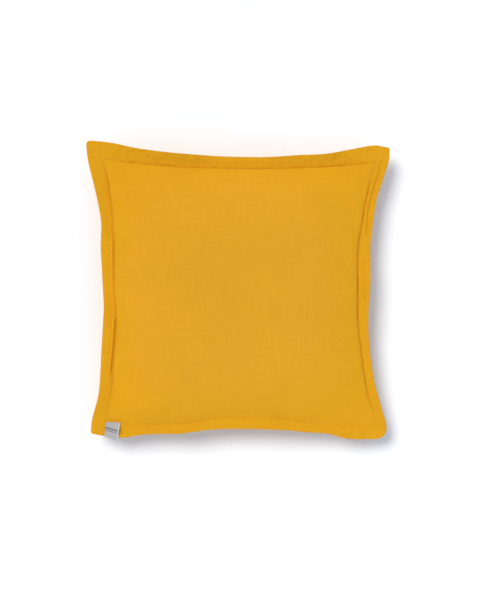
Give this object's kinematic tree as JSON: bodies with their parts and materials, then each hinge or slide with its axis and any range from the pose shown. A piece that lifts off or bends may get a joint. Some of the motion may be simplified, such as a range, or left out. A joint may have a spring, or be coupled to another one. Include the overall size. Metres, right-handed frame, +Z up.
{
  "type": "filled pillowcase",
  "caption": "Filled square linen pillowcase with crowned faces, drawn-in sides, a flat topstitched flange all round and a small folded label on one edge.",
  "frame": {"origin": "on the surface the cushion lies on, under the middle of the whole part", "axes": "+Z up, out of the cushion's face; +Y towards the side of the face away from the label; +X to the right of the face"},
  "size_m": [0.4932, 0.4876, 0.14],
  "materials": {
    "linen": "matt mustard yellow plain-weave linen with small slubs",
    "label_ribbon": "light grey woven ribbon, slightly satin"
  },
  "bodies": {
    "root": {"pillowcase": "linen", "label": "label_ribbon"}
  },
  "joints": []
}
